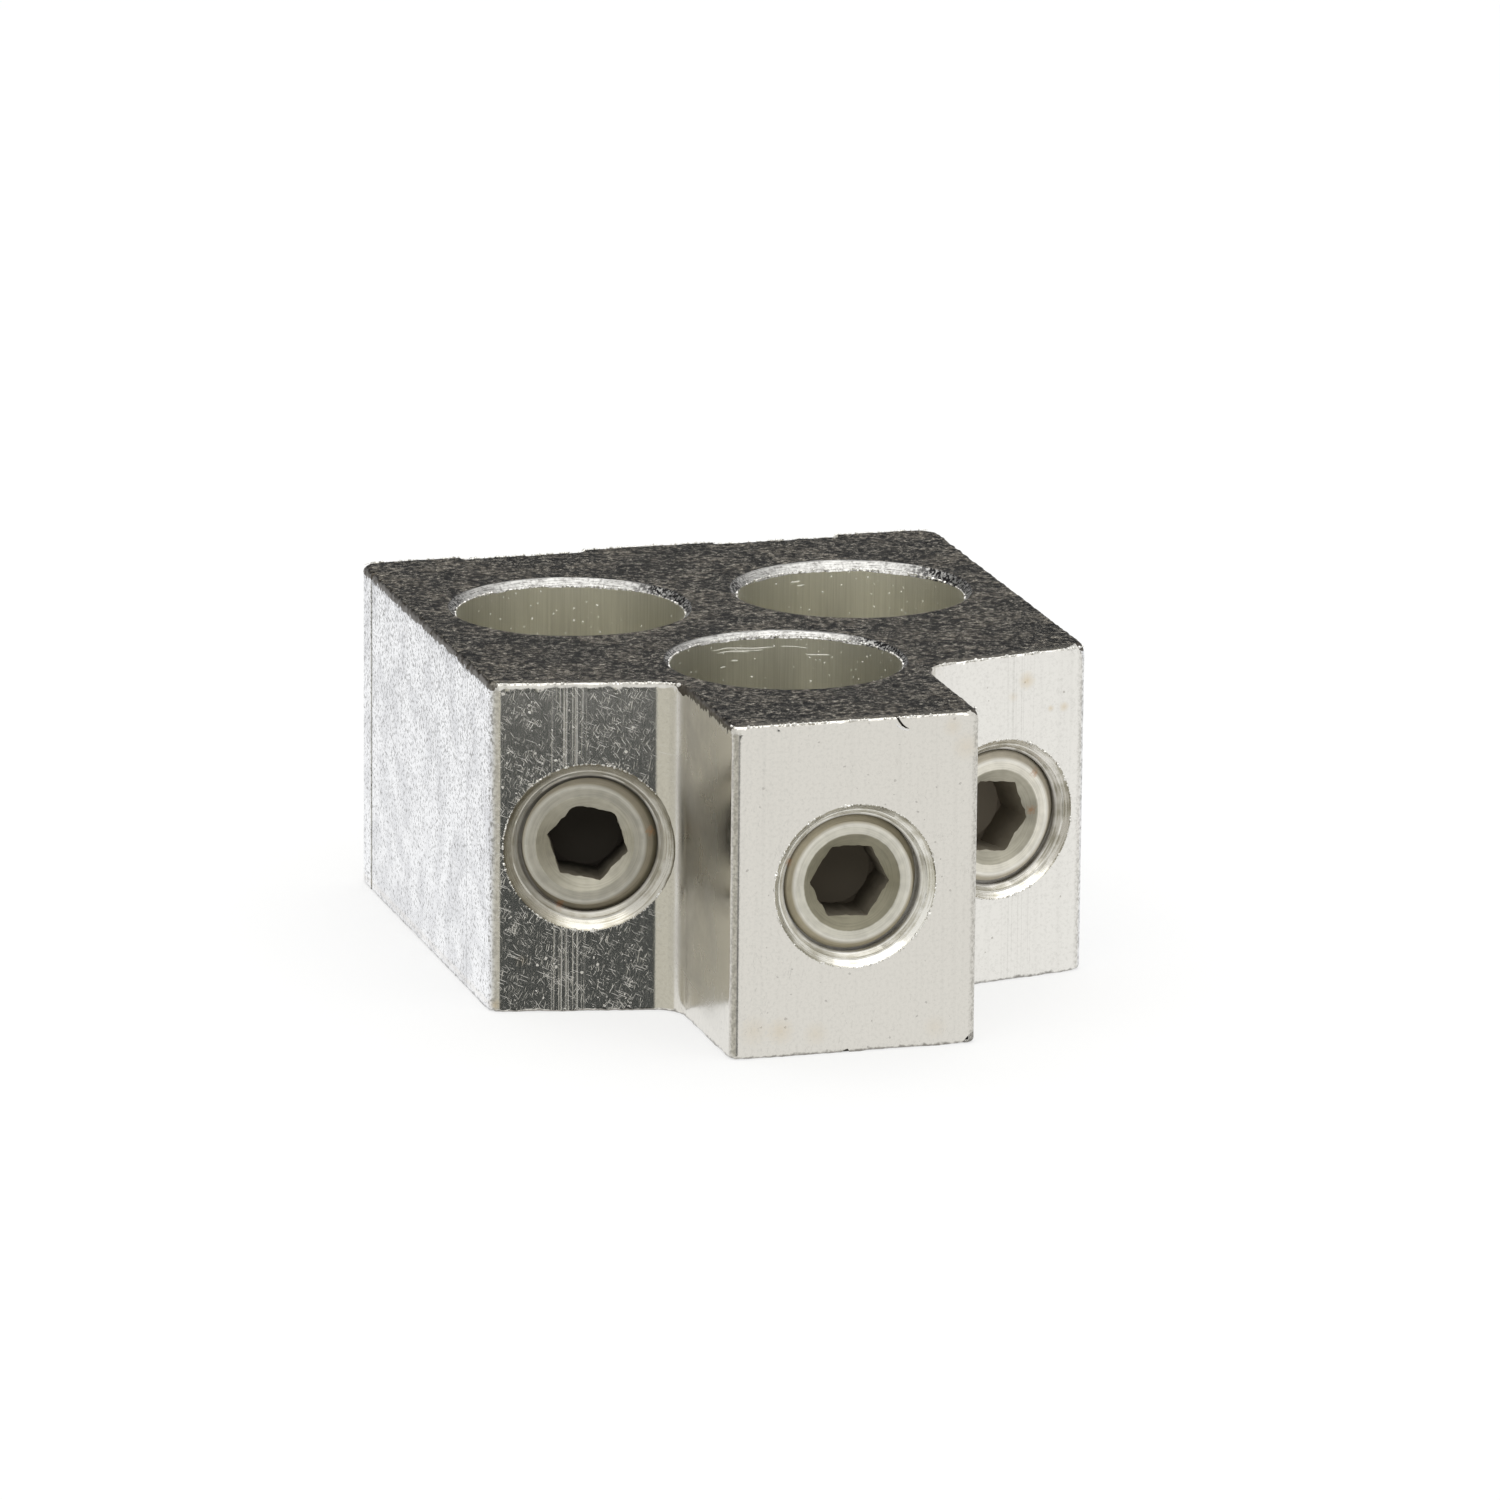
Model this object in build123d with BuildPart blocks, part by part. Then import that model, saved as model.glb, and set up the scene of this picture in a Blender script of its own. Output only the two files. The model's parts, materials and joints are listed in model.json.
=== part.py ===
from build123d import *
import os
from math import cos, radians, sin, sqrt, tan

# Three-wire mechanical lug: one block sawn off an aluminium extrusion, with three upright wire bores
# and a socket set screw for each. Millimetres; +Z up the wire bores, -Y towards the screws, origin
# under the middle of the block on the face that it stands on.

# Wire bores
wire_bore_d = 26.4
left_rim_chamfer = 0.8  # broken by hand, so each rim differs a little
right_rim_chamfer = 0.85
nose_rim_chamfer = 0.5
bottom_rim_chamfer = 0.4

# Metal left round the wire bores
back_wall = 13.2
side_wall = 4.9
rear_web = 7.2  # between the two rear bores
nose_web = 8.07  # between the nose bore and each rear bore
nose_wall = 14.3  # from the nose bore to the nose's face, along its screw
nose_cheek = 1.0  # from the nose bore's widest to the nose's side face
wing_wall = 22.1  # from a rear bore to its wing's face, along its screw

# Extrusion
height = 38.1  # length sawn off
splay = 12.0  # degrees that each wing's face turns outward
channel_width = 14.8
channel_centre = 15.4  # from the middle plane
channel_depth = 1.0
groove_inset = 5.4  # from the back pads to the index groove of each side
groove_width = 0.7  # a right-angled V
back_corner_r = 2.0
wing_corner_r = 1.4
nose_corner_r = 0.9
root_fillet_r = 3.8  # inside corner between a wing and the nose
channel_edge_r = 0.4
dent_leg = 1.4  # knocked corner at the foot of the nose, on its right

# Set screws
screw_d = 15.6
thread_clearance = 0.05  # all round
left_recess = 1.5  # screw's end below the face that it is driven from
nose_recess = 1.6
right_recess = 1.1
tip_gap = 0.7  # between a screw's tip and its wire bore
left_mouth_d = 19.3
nose_mouth_d = 18.7
right_mouth_d = 18.6
mouth_angle = 90.0
socket_flats = 8.0
socket_depth = 6.5
socket_drill_angle = 118.0
socket_mouth_d = 11.0
socket_mouth_slope = 30.0  # degrees from the screw's end
end_flat_d = 13.3
end_drop = 0.5  # how far the rounded edge of the end falls away
tip_chamfer = 1.3
left_turn = -12.0  # degrees that each hexagon stands turned in its hole
nose_turn = -3.0
right_turn = -8.0

# Tapped holes in the back pad, by which the block is bolted to its terminal
bolt_hole_d = 5.2
bolt_hole_depth = 11.0
bolt_hole_mouth_d = 6.8
bolt_hole_spacing = 19.05

# Places that follow from the sizes
bore_r = wire_bore_d / 2
rear_bore_x = (wire_bore_d + rear_web) / 2
row_pitch = sqrt((wire_bore_d + nose_web) ** 2 - rear_bore_x**2)
width = 2 * (rear_bore_x + bore_r + side_wall)
nose_width = 2 * (bore_r + nose_cheek)
depth = back_wall + bore_r + row_pitch + bore_r + nose_wall
back_y = depth / 2
rear_bore_y = back_y - back_wall - bore_r
nose_bore_y = rear_bore_y - row_pitch
nose_y = nose_bore_y - bore_r - nose_wall
mid_z = height / 2

wing_out = Vector(sin(radians(splay)), -cos(radians(splay)))  # out of the right wing's face
wing_mouth = Vector(rear_bore_x, rear_bore_y) + wing_out * (bore_r + wing_wall)


def wing_face_y(x):
    return wing_mouth.Y + (x - wing_mouth.X) * tan(radians(splay))


def port_plane(mouth, out):
    """Plane of a screw's face, with its local z along the screw and out of the block."""
    return Plane(
        origin=(mouth.X, mouth.Y, mid_z), x_dir=(-out.Y, out.X, 0), z_dir=(out.X, out.Y, 0)
    )


ports = {
    "left": port_plane(Vector(-wing_mouth.X, wing_mouth.Y), Vector(-wing_out.X, wing_out.Y)),
    "nose": port_plane(Vector(0, nose_y), Vector(0, -1)),
    "right": port_plane(wing_mouth, wing_out),
}
mouths = {"left": left_mouth_d, "nose": nose_mouth_d, "right": right_mouth_d}
walls = {"left": wing_wall, "nose": nose_wall, "right": wing_wall}
bores = {
    "left": (-rear_bore_x, rear_bore_y, left_rim_chamfer),
    "nose": (0, nose_bore_y, nose_rim_chamfer),
    "right": (rear_bore_x, rear_bore_y, right_rim_chamfer),
}

# Corners of the extrusion's outline, the same on both sides: distance from the middle plane, y, radius
channel_inner = channel_centre - channel_width / 2
channel_outer = channel_centre + channel_width / 2
channel_y = back_y - channel_depth
wing_root_y = wing_face_y(nose_width / 2)
wing_corner_y = wing_face_y(width / 2)
corner_radii = [
    (nose_width / 2, nose_y, nose_corner_r),
    (nose_width / 2, wing_root_y, root_fillet_r),
    (width / 2, wing_corner_y, wing_corner_r),
    (channel_inner, back_y, channel_edge_r),
    (channel_inner, channel_y, channel_edge_r),
    (channel_outer, channel_y, channel_edge_r),
    (channel_outer, back_y, channel_edge_r),
    (width / 2, back_y, back_corner_r),
]

# Block: half the extrusion's outline is drawn and mirrored, its corners rounded, then extruded
with BuildPart() as lug_body:
    with BuildSketch() as outline:
        with BuildLine():
            Polyline(
                (0, back_y),
                (channel_inner, back_y),
                (channel_inner, channel_y),
                (channel_outer, channel_y),
                (channel_outer, back_y),
                (width / 2, back_y),
                (width / 2, wing_corner_y),
                (nose_width / 2, wing_root_y),
                (nose_width / 2, nose_y),
                (0, nose_y),
            )
            mirror(about=Plane.YZ)
        make_face()

        for corner_x, corner_y, radius in corner_radii:
            both_sides = outline.vertices().filter_by(
                lambda corner: abs(abs(corner.X) - corner_x) < 0.01 and abs(corner.Y - corner_y) < 0.01
            )
            fillet(both_sides, radius)

        with Locations((0, back_y - groove_inset)):
            with GridLocations(width, 0, 2, 1):
                RegularPolygon(groove_width / 2, 4, mode=Mode.SUBTRACT)
    extrude(amount=height)

    for x, y, rim_chamfer in bores.values():
        with Locations((x, y, height)):
            Hole(bore_r, depth=height)

    for name, port in ports.items():
        with Locations(port):
            CounterSinkHole(
                screw_d / 2 + thread_clearance,
                mouths[name] / 2,
                depth=walls[name] + bore_r,
                counter_sink_angle=mouth_angle,
            )

    with Locations(Plane(origin=(0, back_y, mid_z), x_dir=(-1, 0, 0), z_dir=(0, 1, 0))):
        with GridLocations(0, bolt_hole_spacing, 1, 2):
            CounterSinkHole(
                bolt_hole_d / 2,
                bolt_hole_mouth_d / 2,
                depth=bolt_hole_depth,
                counter_sink_angle=mouth_angle,
            )

    rims = lug_body.edges().filter_by(GeomType.CIRCLE)
    for x, y, rim_chamfer in bores.values():
        rim = rims.filter_by(lambda edge: abs(edge.arc_center.X - x) + abs(edge.arc_center.Y - y) < 0.1)
        rim = rim.filter_by(lambda edge: abs(edge.radius - bore_r) < 0.01)
        chamfer(rim.group_by(Axis.Z)[-1], rim_chamfer)
        chamfer(rim.group_by(Axis.Z)[0], bottom_rim_chamfer)

    dent = Plane(origin=(nose_width / 2 - dent_leg, nose_y, 0), z_dir=(-1, 1, 1))
    split(bisect_by=dent, keep=Keep.TOP)

lug_body.part.label = "lug_body"


def set_screw(label, port, wall, recess, turn):
    """Socket set screw standing in its hole, as long as its wall allows."""
    length = wall - recess - tip_gap
    end = port.offset(-recess)
    radius = screw_d / 2
    flat_r = end_flat_d / 2
    mouth_r = socket_mouth_d / 2
    section = Plane(origin=end.origin, x_dir=end.x_dir, z_dir=-end.y_dir)
    axis = Axis(end.origin, end.z_dir)

    with BuildPart() as screw:
        with BuildSketch(section):
            with BuildLine():
                Polyline(
                    (0, 0),
                    (flat_r, 0),
                    (radius, -end_drop),
                    (radius, tip_chamfer - length),
                    (radius - tip_chamfer, -length),
                    (0, -length),
                    close=True,
                )
            make_face()
        revolve(axis=axis)

        with BuildSketch(end):
            RegularPolygon(socket_flats / 2, 6, major_radius=False, rotation=turn)
        extrude(amount=-socket_depth, mode=Mode.SUBTRACT)

        drill_drop = socket_flats / 2 / tan(radians(socket_drill_angle / 2))
        with BuildSketch(section):
            with BuildLine():
                Polyline((0, 0), (mouth_r, 0), (0, -mouth_r * tan(radians(socket_mouth_slope))), close=True)
            make_face()
            with BuildLine():
                Polyline(
                    (0, -socket_depth),
                    (socket_flats / 2, -socket_depth),
                    (0, -socket_depth - drill_drop),
                    close=True,
                )
            make_face()
        revolve(axis=axis, mode=Mode.SUBTRACT)

    screw.part.label = label
    return screw.part


left_set_screw = set_screw("left_set_screw", ports["left"], wing_wall, left_recess, left_turn)
nose_set_screw = set_screw("nose_set_screw", ports["nose"], nose_wall, nose_recess, nose_turn)
right_set_screw = set_screw("right_set_screw", ports["right"], wing_wall, right_recess, right_turn)

os.makedirs("parts", exist_ok=True)
for piece in (lug_body.part, left_set_screw, nose_set_screw, right_set_screw):
    export_step(piece, f"parts/{piece.label}.step")
    box = piece.bounding_box()
    print(piece.label, f"volume {piece.volume:.1f}", f"size {box.size.X:.2f} {box.size.Y:.2f} {box.size.Z:.2f}")
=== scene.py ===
import json
from math import atan2, ceil, cos, pi, radians, sin, tan

import bmesh
import bpy
from mathutils import Matrix, Vector, noise


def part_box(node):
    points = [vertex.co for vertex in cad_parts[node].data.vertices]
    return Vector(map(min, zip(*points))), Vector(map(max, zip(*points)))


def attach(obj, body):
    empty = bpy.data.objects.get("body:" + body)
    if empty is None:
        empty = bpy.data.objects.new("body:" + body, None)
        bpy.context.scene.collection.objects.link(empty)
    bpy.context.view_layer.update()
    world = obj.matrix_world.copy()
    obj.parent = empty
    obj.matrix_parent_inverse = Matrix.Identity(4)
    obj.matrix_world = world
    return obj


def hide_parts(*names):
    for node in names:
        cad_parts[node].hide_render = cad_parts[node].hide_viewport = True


# Three-wire mechanical lug: a tinned aluminium block sawn off an extrusion, and its three socket set screws.
# Shapes are made in millimetres, in the frame's own axes, and turned to metres when a piece is finished.

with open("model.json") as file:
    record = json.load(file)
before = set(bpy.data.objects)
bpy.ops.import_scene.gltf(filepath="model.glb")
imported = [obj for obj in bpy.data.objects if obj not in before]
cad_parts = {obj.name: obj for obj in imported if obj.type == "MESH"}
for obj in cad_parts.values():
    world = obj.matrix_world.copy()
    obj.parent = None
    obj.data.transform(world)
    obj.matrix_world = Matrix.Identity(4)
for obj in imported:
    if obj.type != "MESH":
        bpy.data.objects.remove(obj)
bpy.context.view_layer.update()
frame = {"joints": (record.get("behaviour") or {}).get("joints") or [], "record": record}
scene = bpy.context.scene
mounts = {mount["name"]: mount for mount in frame["record"]["mounts"]}
travels = {joint["child"]: joint for joint in frame["joints"]}
blockLow, blockHigh = (corner * 1000 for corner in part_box("lug_body"))
print("frame loaded")


def linear(hexValue):
    # sRGB hex to the linear colour that a socket takes
    channels = [int(hexValue[i:i + 2], 16) / 255 for i in (0, 2, 4)]
    return (*[c / 12.92 if c <= 0.04045 else ((c + 0.055) / 1.055) ** 2.4 for c in channels], 1.0)


def add(tree, kind, *feeds, at=None, out=0, **named):
    # a node, and one of its outputs: feeds, links or values, go to its inputs in order, at gives more by number
    # or name, a capitalised name is an input too, and any other name is a setting
    node = tree.nodes.new(kind if "Node" in kind else f"ShaderNode{kind}")
    fed = {**dict(enumerate(feeds)), **(at or {})}
    for name, value in named.items():
        if name[0].isupper():
            fed[name] = value
        else:
            setattr(node, name, value)
    for socket, feed in fed.items():
        if isinstance(feed, bpy.types.NodeSocket):
            tree.links.new(feed, node.inputs[socket])
        elif feed is not None:
            node.inputs[socket].default_value = feed
    return node.outputs[out] if node.outputs else node


def cleared(holder):
    # the empty node tree of a material or a world
    holder.use_nodes = True
    holder.node_tree.nodes.clear()
    return holder.node_tree


def placed(name, data):
    # a new object in the scene
    thing = bpy.data.objects.new(name, data)
    scene.collection.objects.link(thing)
    return thing


# Places, worked out from the frame
height = blockHigh.z
halfWidth = blockHigh.x
backY = blockHigh.y
noseY = blockLow.y
boreRadius = mounts["nose_wire_bore"]["dims"]["r_mm"]
rims = {"left": (0.8, 0.1), "nose": (0.5, 0.34), "right": (0.85, 0.28)}  # broken edge's width, more at the back
bores = {side: {"centre": tuple(1000 * v for v in mounts[f"{side}_wire_bore"]["pos_m"][:2]),
                "rim": rims[side][0], "backHeavy": rims[side][1]} for side in rims}
backHeavyWay = radians(75)
portSizes = {
    "left": {"wall": 22.1, "mouth": 9.65, "recess": 1.5, "turn": -12.0, "offCentre": 0.38,
             "rust": [(-16.9, 20.4), (-26.7, 12.0)]},
    "nose": {"wall": 14.3, "mouth": 9.35, "recess": 1.6, "turn": -3.0, "offCentre": -0.1, "rust": [(-7.3, 22.0)]},
    "right": {"wall": 22.1, "mouth": 9.3, "recess": 1.1, "turn": -8.0, "offCentre": 0.0,
              "rust": [(28.9, 23.7), (28.6, 19.3)]},
}


def localFrame(origin, outward):
    # local z along outward, local y up the block
    across = Vector((-outward.y, outward.x, 0)).normalized()
    turned = Matrix((across, outward.cross(across), outward)).transposed().to_4x4()
    return Matrix.Translation(origin) @ turned


for side, port in portSizes.items():
    outward = -Vector(travels[f"{side}_set_screw"]["axis"])
    mouthCentre = Vector((*bores[side]["centre"], height / 2)) + outward * (boreRadius + port["wall"])
    port["outward"] = outward
    port["mouthCentre"] = mouthCentre
    port["frame"] = localFrame(mouthCentre, outward)
splay = atan2(abs(portSizes["right"]["outward"].x), abs(portSizes["right"]["outward"].y))
noseX = boreRadius + 1.0  # the nose's side faces are a millimetre out from its bore


def wingFaceY(x):
    mouth = portSizes["right"]["mouthCentre"]
    return mouth.y + (abs(x) - mouth.x) * tan(splay)


# Camera, at the photograph's own view

shot = {"azimuth": -16.577, "elevation": 14.688, "roll": 0.539, "distance": 1222.45, "lens": 257.08,
        "sensor": 36.0, "nearest": 0.05,
        "aim": (0.518, 1.102, 23.642)}  # degrees and millimetres; azimuth is to the right of the nose


def placeCamera():
    azimuth, elevation, roll = (radians(shot[key]) for key in ("azimuth", "elevation", "roll"))
    back = Vector((sin(azimuth) * cos(elevation), -cos(azimuth) * cos(elevation), sin(elevation)))
    level = (-back).cross(Vector((0, 0, 1))).normalized()
    upright = level.cross(-back)
    right = level * cos(roll) + upright * sin(roll)
    up = upright * cos(roll) - level * sin(roll)
    camera = placed("camera", bpy.data.cameras.new("camera"))
    camera.data.lens = shot["lens"]
    camera.data.sensor_width = shot["sensor"]
    camera.data.clip_start = shot["nearest"]
    camera.matrix_world = Matrix.Translation((Vector(shot["aim"]) + back * shot["distance"]) / 1000) \
        @ Matrix((right, up, back)).transposed().to_4x4()
    scene.camera = camera


placeCamera()
print("camera placed")


# Mesh helpers

def storeShape(shape, mesh):
    # a bmesh's faces turned outward and written to a mesh
    bmesh.ops.recalc_face_normals(shape, faces=shape.faces)
    shape.to_mesh(mesh)
    shape.free()


def objectFrom(shape, name, finishList=()):
    mesh = bpy.data.meshes.new(name)
    storeShape(shape, mesh)
    for finish in finishList:
        mesh.materials.append(finish)
    return placed(name, mesh)


def evaluated(thing):
    # the object's mesh with its modifiers made real, and the modifiers gone
    bpy.context.view_layer.update()
    graph = bpy.context.evaluated_depsgraph_get()
    mesh = bpy.data.meshes.new_from_object(thing.evaluated_get(graph), depsgraph=graph)
    thing.modifiers.clear()
    old = thing.data
    thing.data = mesh
    bpy.data.meshes.remove(old)
    return thing


def carve(target, cutter, operation="DIFFERENCE"):
    change = target.modifiers.new("carve", "BOOLEAN")
    change.operation = operation
    change.solver = "MANIFOLD"
    change.material_mode = "TRANSFER"
    change.object = cutter
    evaluated(target)
    bpy.data.objects.remove(cutter)


def skin(shape, rings, finishOf=None):
    # faces from each ring of points to the next, whose corners fall together where a ring is a single point
    for row, (low, high) in enumerate(zip(rings, rings[1:])):
        for step in range(len(low)):
            after = (step + 1) % len(low)
            face = shape.faces.new(list(dict.fromkeys((low[step], low[after], high[after], high[step]))))
            face.material_index = finishOf[row] if finishOf else 0


def revolved(name, profile, finishList, segments=192, wobble=None, place=None):
    # a closed turned shape about local z: each profile point is (radius, level, finish of the face that follows)
    shape = bmesh.new()
    rings = []
    for row, (radius, level, _) in enumerate(profile):
        if radius == 0:
            rings.append([shape.verts.new((0, 0, level))] * segments)
            continue
        ring = []
        for step in range(segments):
            angle = 2 * pi * step / segments
            wider, higher = wobble(row, angle) if wobble else (0, 0)
            spot = Vector((cos(angle), sin(angle), 0)) * (radius + wider) + Vector((0, 0, level + higher))
            ring.append(shape.verts.new(spot))
        rings.append(ring)
    skin(shape, rings, [finish for _, _, finish in profile])
    made = objectFrom(shape, name, finishList)
    if place:
        made.data.transform(place)
    return made


def ragged(point, size, seed):
    # smooth chance from about -1 to 1, which changes over size millimetres
    return 1.6 * noise.noise(Vector((point[0] / size, point[1] / size, seed)))


# Patterns that the materials share. A MapRange is fed its value, the two ends of its range, and what they turn
# into where that isn't 0 and 1; the values' dictionaries hold these numbers as tuples.

def startFinish(name):
    # an empty material and the place on the part, in millimetres
    made = bpy.data.materials.new(name)
    tree = cleared(made)
    place = add(tree, "TexCoord", out="Object")
    return made, tree, add(tree, "VectorMath", place, Scale=1000.0, operation="SCALE")


def closeFinish(tree, base, rough, metallic=1.0, relief=None, depth=0.0):
    # the shader, with a relief of so many millimetres
    bump = None if relief is None else add(tree, "Bump", Distance=depth / 1000, Height=relief)
    shader = add(tree, "BsdfPrincipled", base, Metallic=metallic, Roughness=rough, Normal=bump)
    add(tree, "OutputMaterial", shader)


def layered(tree, base, *coats):
    # colours laid over a base in turn, each by its share
    for share, colour in coats:
        base = add(tree, "Mix", share, at={6: base, 7: linear(colour)}, out=2, data_type="RGBA")
    return base


def combined(tree, operation, joined, *others):
    # several values joined in turn by one sum
    for value in others:
        joined = add(tree, "Math", joined, value, operation=operation)
    return joined


def nearTo(tree, value, centre, reach, full, most=1.0):
    # nothing where a value is further than reach from its centre, and most of it within full
    away = add(tree, "Math", value, centre, operation="SUBTRACT")
    away = add(tree, "Math", away, operation="ABSOLUTE")
    return add(tree, "MapRange", away, reach, full, 0.0, most)


def stained(tree, base, spot, fraying, colour, stains):
    # round stains with frayed edges, placed by x and z: x, z, how frayed, full and outer radius, share
    flat = add(tree, "VectorMath", spot, (1, 0, 1), operation="MULTIPLY")
    for x, z, frayedBy, full, outer, most in stains:
        away = add(tree, "VectorMath", flat, (x, 0, z), out="Value", operation="DISTANCE")
        away = add(tree, "Math", fraying, frayedBy, away, operation="MULTIPLY_ADD")
        base = layered(tree, base, (add(tree, "MapRange", away, full, outer, most, 0.0), colour))
    return base


def frayed(tree, spot, size):
    # the place shifted about by up to 0.15 mm, which makes round cells ragged
    shift = add(tree, "TexNoise", spot, Scale=1 / size, Detail=1.0, out="Color")
    return add(tree, "VectorMath", shift, (0.3, 0.3, 0.3), spot, operation="MULTIPLY_ADD")


def turningMarks(tree, radius, rise, run, spacing, arcs):
    # noise drawn out round an axis, as the marks of a turning tool are; rise and run give the way round
    turn = add(tree, "Math", rise, run, operation="ARCTAN2")
    laid = [add(tree, "Math", value, factor, operation="MULTIPLY")
            for value, factor in ((radius, 1 / spacing), (turn, arcs))]
    return add(tree, "TexNoise", add(tree, "CombineXYZ", *laid), Scale=1.0, Detail=2.0, noise_dimensions="2D")


def fromAxis(tree, spot, port):
    # distance from a screw's axis, how far out along it from the block's face, and the place across it
    centred = add(tree, "VectorMath", spot, port["mouthCentre"], operation="SUBTRACT")
    along = add(tree, "VectorMath", centred, port["outward"], out="Value", operation="DOT_PRODUCT")
    onAxis = add(tree, "VectorMath", port["outward"], Scale=along, operation="SCALE")
    across = add(tree, "VectorMath", centred, onAxis, operation="SUBTRACT")
    return add(tree, "VectorMath", across, out="Value", operation="LENGTH"), along, across


def toolRings(tree, radius, across, look):
    x, _, z = add(tree, "SeparateXYZ", across, out=slice(3))
    return turningMarks(tree, radius, z, x, look["ring"], 7 / look["arc"])


# Materials: colours, then sizes in millimetres, then a noise's limits

sawn = {
    "dark": "0c0a08", "mid": "4d4840", "light": "bfb9ac", "edge": "807c73", "rough": 0.55, "depth": 0.08,
    "felt": 0.95, "fibre": 0.6, "patch": 4.5, "grit": 0.6, "edgeBand": (0.9, 2.3, 0.6, 0.0),
    "patchShare": 1.7, "tone": (1.22, 1.62), "broken": (0.44, 0.58), "gritTone": (0.36, 0.64, 0.1, 1.6),
    "strokes": (("light", 0.05), ("dark", 0.065), ("light", 0.035)), "strokeShare": 0.75,  # colour and width
}


def sawnAluminium():
    # aluminium as a band saw and then a tumbling barrel leave it: dull, dark and felted, with short light
    # strokes; its darkness is partly the sawn metal's own and partly a painted dark reflection
    made, tree, spot = startFinish("sawn_tumbled_aluminium")
    felt = add(tree, "TexNoise", spot, Scale=1 / sawn["felt"], Detail=6.0, Roughness=0.75, Distortion=0.6)
    patch = add(tree, "TexNoise", spot, Scale=1 / sawn["patch"], Detail=3.0)
    fibres = add(tree, "TexNoise", spot, Scale=1 / sawn["fibre"], Detail=3.0, Distortion=1.0, out="Color")
    both = add(tree, "Math", patch, sawn["patchShare"], felt, operation="MULTIPLY_ADD")
    tone = add(tree, "MapRange", both, *sawn["tone"])
    broken = add(tree, "MapRange", felt, *sawn["broken"])
    base = layered(tree, linear(sawn["dark"]), (tone, sawn["mid"]))
    relief = both
    for fibre, (shade, width) in zip(add(tree, "SeparateColor", fibres, out=slice(3)), sawn["strokes"]):
        stroke = nearTo(tree, fibre, 0.5, width, 0.0, sawn["strokeShare"])
        stroke = add(tree, "Math", stroke, broken, operation="MULTIPLY")
        base = layered(tree, base, (stroke, sawn[shade]))
        relief = add(tree, "Math", relief, stroke, operation="ADD")
    grit = add(tree, "TexNoise", spot, Scale=1 / sawn["grit"], Detail=1.0)
    grit = add(tree, "MapRange", grit, *sawn["gritTone"])
    base = add(tree, "VectorMath", base, Scale=grit, operation="SCALE")
    # rubbed smoother and lighter along the front edges
    x, y, _ = add(tree, "SeparateXYZ", spot, out=slice(3))
    outer = add(tree, "Math", x, operation="ABSOLUTE")
    fromWing = add(tree, "Math", outer, -tan(splay), y, operation="MULTIPLY_ADD")
    fromWing = add(tree, "Math", fromWing, wingFaceY(0), operation="SUBTRACT")
    fromNose = add(tree, "Math", y, noseY, operation="SUBTRACT")
    onWing = add(tree, "Math", outer, noseX + 2.0, operation="GREATER_THAN")
    inset = add(tree, "Mix", onWing, at={2: fromNose, 3: fromWing})
    inset = add(tree, "Math", felt, 1.4, inset, operation="MULTIPLY_ADD")
    rubbed = add(tree, "MapRange", inset, *sawn["edgeBand"])
    base = layered(tree, base, (rubbed, sawn["edge"]))
    closeFinish(tree, base, sawn["rough"], relief=relief, depth=sawn["depth"])
    return made


tinned = {
    "warm": "d8d5cd", "bright": "e6e4de", "cool": "f6f7f9", "shade": "a9a7a1", "pit": "bdbab3", "dull": "505153",
    "cloudy": "dfe0e3", "edge": "8d8a82", "stain": "c9b183", "lapped": "4f4a43", "rough": (0.15, 0.52),
    "depth": 0.02, "streak": 0.7, "mottle": 0.4, "cloud": 4.0, "speck": 0.26, "drawn": 0.14, "fleck": 0.95,
    "fray": 0.3, "torn": 0.7, "dieWidth": 0.26, "dieBand": (26.4, 2.2, 1.4),  # its middle, reach and full width
    "scratch": (0.07, 1.7, 1), "scratchTurns": (28, -24, 62, -8), "scratched": (0.68, 0.79, 0.0, 0.8),
    "scattered": (0.0, 1.0, 0.35), "busy": (0.42, 0.62), "dies": (0.54, 0.64),
    "drawnLines": (0.52, 0.75, 0.0, 0.12), "flecked": (0.07, 0.03), "keptFlecks": 0.55, "pits": 0.7,
    "dented": (0.29, 0.25),
    "hammered": (0.535, 0.65, 0.0, 0.85), "streaked": (0.5, 0.72, 0.0, 0.08), "faint": (0.48, 0.7, 0.0, 0.22),
    "blotch": (0.35, 0.65, 0.7, 1.4), "grey": (0.42, 0.58, 0.2, 1.0),
    "sideLines": [(backY - 5.4, 0.34, 0.85), (-6.3, 0.16, 0.4)],  # painted shade along the groove, and a die line: y, width, share
    "wornEdges": [(noseX, noseY, 0.95, 0.3), (halfWidth, wingFaceY(halfWidth), 1.15, 0.25)],  # x, y, size, dirt
    # x, z, size and share
    "stains": [(27.3, 34.9, 1.2, 0.5), (32.1, 31.3, 0.7, 0.5), (30.4, 31.3, 0.5, 0.5), (-8.5, 3.0, 1.8, 0.3),
               (-31.4, 6.0, 0.9, 0.3), (-34.3, 0.9, 0.8, 0.5), (11.0, 36.6, 1.3, 0.2), (-11.6, 3.2, 2.0, 0.2),
               (12.6, 34.2, 1.8, 0.2), (-4.4, 2.4, 1.6, 0.2), (9.4, 2.2, 1.6, 0.14), (25.6, 33.2, 0.7, 0.25)],
}


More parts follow.
